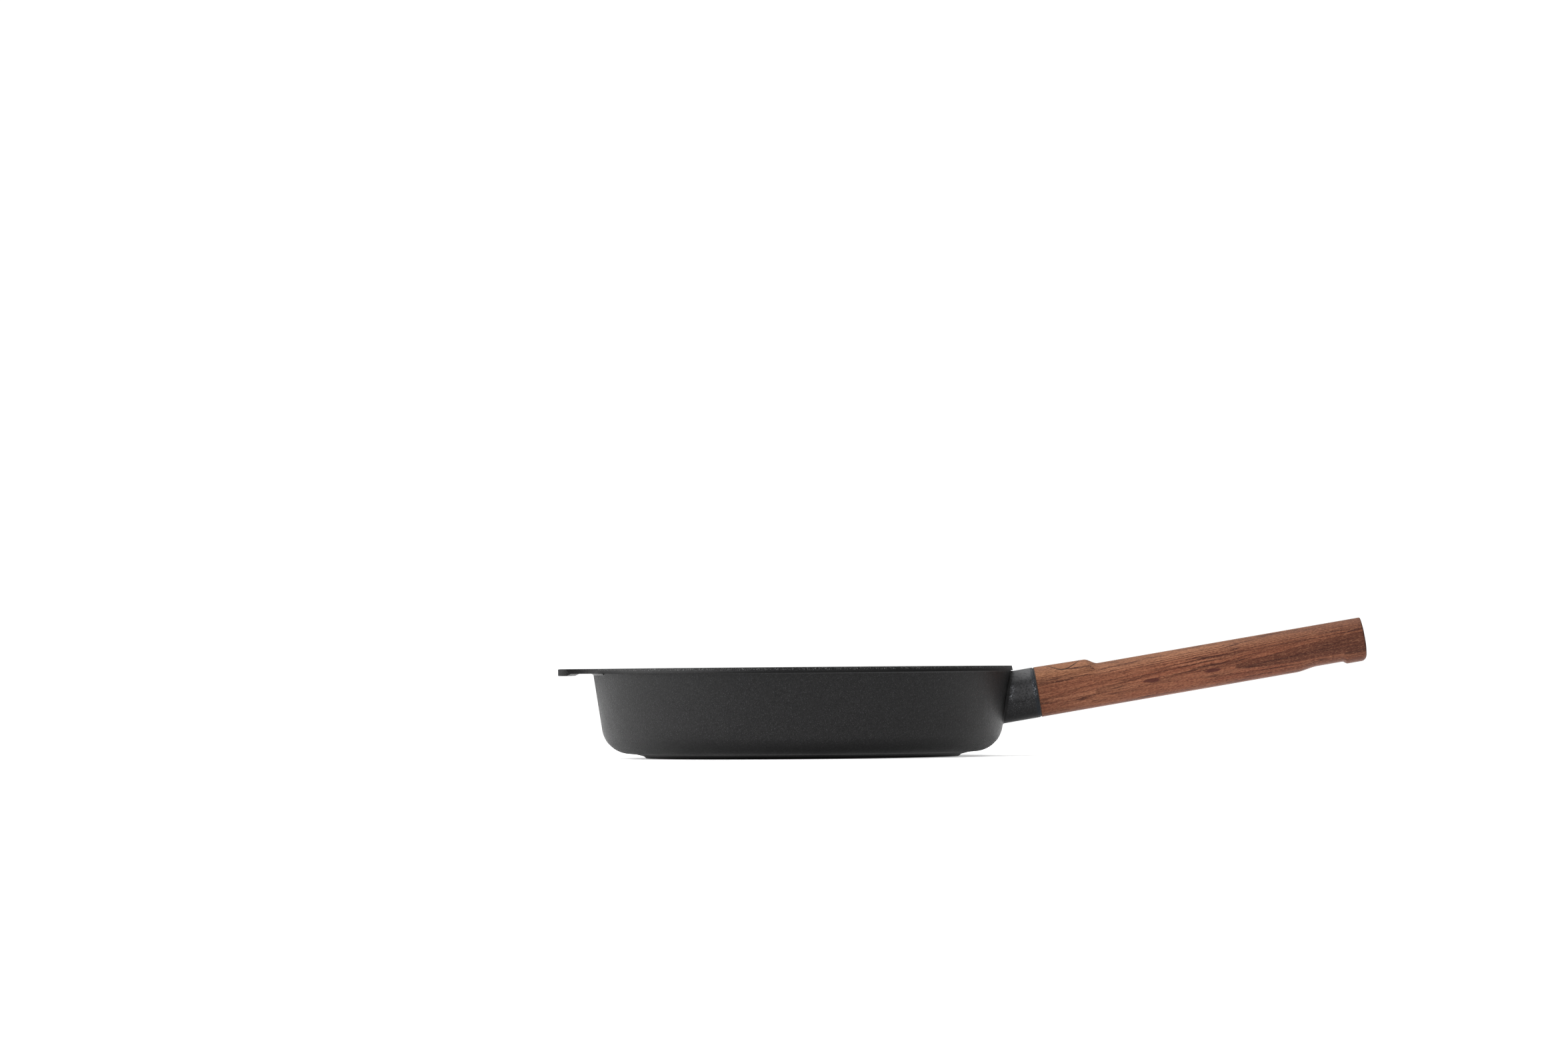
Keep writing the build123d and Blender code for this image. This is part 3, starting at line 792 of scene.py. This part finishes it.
def burnt_seal(g, w):
    """How burnt: two plain rings, one inside the other, on the thumb pad."""
    reach = g.length(g.minus(w.along, SEAL_ALONG), w.across)
    rings = g.larger(g.near(reach, SEAL_RADIUS, 0.18 * MM, 0.34 * MM),
                     g.near(reach, SEAL_INNER, 0.35 * MM, 0.55 * MM))
    return g.times(rings, g.remap(w.up, 4 * MM, 6 * MM))


def beech():
    """Red-brown heat-treated beech."""
    g = Graph("heat_treated_beech")
    w = wood_places(g)
    growth_rings(g, w)
    wood_grain(g, w)
    base = wood_colour(g, w)
    base = dark_marks(g, w, base)
    base = end_grain(g, w, base)
    burn = burnt_seal(g, w)
    base = g.mix(g.times(burn, 0.92), base, (0.010, 0.005, 0.004))
    rough = g.add(g.remap(w.streak, 0.3, 0.7, 0.48, 0.58), g.times(w.late, 0.06))
    normal = g.bump(g.add(w.fibre, g.times(w.ray, -0.5)), 0.07 * MM, 0.8)
    normal = g.bump(w.streak, 0.08 * MM, 0.5, normal)
    normal = g.bump(burn, -0.25 * MM, 1.0, normal)
    g.set(Base_Color=base, Roughness=rough, Normal=normal, Specular_IOR_Level=0.10)
    return g.material


def steel(name, colour, roughness, scale=(1, 1, 1)):
    g = Graph(name)
    where = g.coords()
    brushed = g.noise(g.mapping(where, scale), 900, 3, 0.6)
    spots = g.noise(where, 160, 2, 0.5)
    dark = tuple(c * 0.75 for c in colour)
    base = g.mix(g.remap(spots, 0.35, 0.7, 0.0, 0.6), colour, dark)
    rough = g.remap(brushed, 0.3, 0.7, roughness - 0.08, roughness + 0.1)
    g.set(Base_Color=base, Roughness=rough, Normal=g.bump(brushed, 0.01 * MM, 0.5), Metallic=1.0)
    return g.material


def gasket():
    g = Graph("gasket_fibre")
    fibre = g.noise(g.coords(), 1800, 3, 0.6)
    base = g.ramp(fibre, [(0.3, (0.008, 0.008, 0.008)), (0.75, (0.03, 0.029, 0.028))])
    rough = g.remap(fibre, 0.3, 0.7, 0.75, 0.92)
    g.set(Base_Color=base, Roughness=rough, Normal=g.bump(fibre, 0.05 * MM, 0.6))
    return g.material


def dress(node, material):
    mesh = frame["nodes"][node].data
    mesh.materials.clear()
    mesh.materials.append(material)


# ---------------------------------------------------------------------------
# Studio
# ---------------------------------------------------------------------------
def studio_floor():
    """A pale round floor that glows slightly, like a light table."""
    g = Graph("studio_white")
    fine = g.noise(g.coords(), 300, 2, 0.5)
    g.set(Base_Color=g.remap(fine, 0.0, 1.0, 0.90, 0.92), Roughness=0.7, Specular_IOR_Level=0.1,
          Emission_Color=(1, 1, 1), Emission_Strength=FLOOR_GLOW)
    skin = Skin()
    middle = skin.ring([(0, 0, 0)])[0]
    circles = []
    for row in range(1, FLOOR_ROWS + 1):
        turns = np.linspace(0, FULL_TURN, FLOOR_AROUND, endpoint=False)
        circles.append([(*polar(FLOOR_RADIUS * row / FLOOR_ROWS, t), 0) for t in turns])
    numbers = skin.tube([circle[::-1] for circle in circles])
    first = numbers[0]
    for i in range(FLOOR_AROUND):
        skin.faces.append((middle, first[(i + 1) % FLOOR_AROUND], first[i]))
    floor = mesh_object("floor", skin.verts, skin.faces)
    floor.location.z = -FLOOR_DROP
    floor.data.materials.append(g.material)


def soft_light(name, place, target, size, power):
    data = bpy.data.lights.new(name, "AREA")
    data.shape = "RECTANGLE"
    data.size, data.size_y = size
    data.energy = power
    light = bpy.data.objects.new(name, data)
    light.location = place
    aim = Vector(target) - Vector(place)
    light.rotation_euler = aim.to_track_quat("-Z", "Y").to_euler()
    bpy.context.scene.collection.objects.link(light)


def studio_world():
    """A white surround. It lights the object less than the eye sees, and most from above and left."""
    world = bpy.data.worlds.new("studio")
    bpy.context.scene.world = world
    world.use_nodes = True
    nodes, links = world.node_tree.nodes, world.node_tree.links
    lit = nodes["Background"]
    lit.inputs["Color"].default_value = (1, 1, 1, 1)
    seen = nodes.new("ShaderNodeBackground")
    seen.inputs["Color"].default_value = (1, 1, 1, 1)
    seen.inputs["Strength"].default_value = WORLD_SEEN
    direction = nodes.new("ShaderNodeTexCoord").outputs["Generated"]

    def glow(towards, start, end, low, high):
        """A strength that rises from low to high as the direction turns towards the given one."""
        facing = nodes.new("ShaderNodeVectorMath")
        facing.operation = "DOT_PRODUCT"
        facing.inputs[1].default_value = Vector(towards).normalized()
        links.new(direction, facing.inputs[0])
        step = nodes.new("ShaderNodeMapRange")
        step.interpolation_type = "SMOOTHSTEP"
        for key, value in (("From Min", start), ("From Max", end), ("To Min", low), ("To Max", high)):
            step.inputs[key].default_value = value
        links.new(facing.outputs["Value"], step.inputs["Value"])
        return step.outputs[0]
    total = nodes.new("ShaderNodeMath")
    links.new(glow((0, 0, 1), 0.0, 0.8, WORLD_LOW, WORLD_HIGH), total.inputs[0])
    links.new(glow(LEFT_GLOW, 0.64, 1.0, 0.0, WORLD_LEFT), total.inputs[1])
    links.new(total.outputs[0], lit.inputs["Strength"])
    path = nodes.new("ShaderNodeLightPath")
    mix = nodes.new("ShaderNodeMixShader")
    links.new(path.outputs["Is Camera Ray"], mix.inputs[0])
    links.new(lit.outputs[0], mix.inputs[1])
    links.new(seen.outputs[0], mix.inputs[2])
    links.new(mix.outputs[0], nodes["World Output"].inputs["Surface"])


def photo_camera():
    data = bpy.data.cameras.new("photo_camera")
    data.sensor_width = CAMERA_SENSOR
    data.lens = CAMERA_LENS
    data.clip_end = 100
    camera = bpy.data.objects.new("photo_camera", data)
    bpy.context.scene.collection.objects.link(camera)
    camera.matrix_world = (
        Matrix.Translation(CAMERA_PLACE)
        @ Matrix.Rotation(math.pi / 2 + CAMERA_PITCH, 4, "X") @ Matrix.Rotation(CAMERA_ROLL, 4, "Z")
    )
    bpy.context.scene.camera = camera


# ---------------------------------------------------------------------------
# Build
# ---------------------------------------------------------------------------
wood = wooden_grip()
bolt = tie_bolt()
iron_look = cast_iron()
wood.data.materials.append(beech())
bolt.data.materials.append(steel("stainless_machined", (0.46, 0.46, 0.47), 0.30, (1, 4, 4)))
dress("pan_casting", iron_look)
dress("thread_bush", steel("bush_machined", (0.50, 0.49, 0.47), 0.34))
dress("locating_pins", steel("pins_ground", (0.56, 0.56, 0.56), 0.22))
dress("heat_gasket", gasket())
dress("pin_sleeves", steel("sleeve_brass", (0.62, 0.42, 0.18), 0.30))
dress("seat_cup", steel("cup_drawn", (0.52, 0.52, 0.52), 0.33))
dress("spring_washers", steel("spring_temper", (0.24, 0.25, 0.30), 0.36))
dress("thrust_washer", steel("washer_plated", (0.55, 0.55, 0.54), 0.30))
dress("retaining_clip", steel("clip_temper", (0.20, 0.21, 0.24), 0.38))

studio_floor()
soft_light("top", (-0.2, 0.0, 2.0), (0.0, 0.0, 0.0), (2.8, 2.8), 45)
soft_light("front", (0.7, -2.3, 1.3), (0.0, -0.2, 0.0), (2.0, 1.2), 8)
studio_world()
photo_camera()
bpy.context.scene.view_settings.view_transform = "Standard"
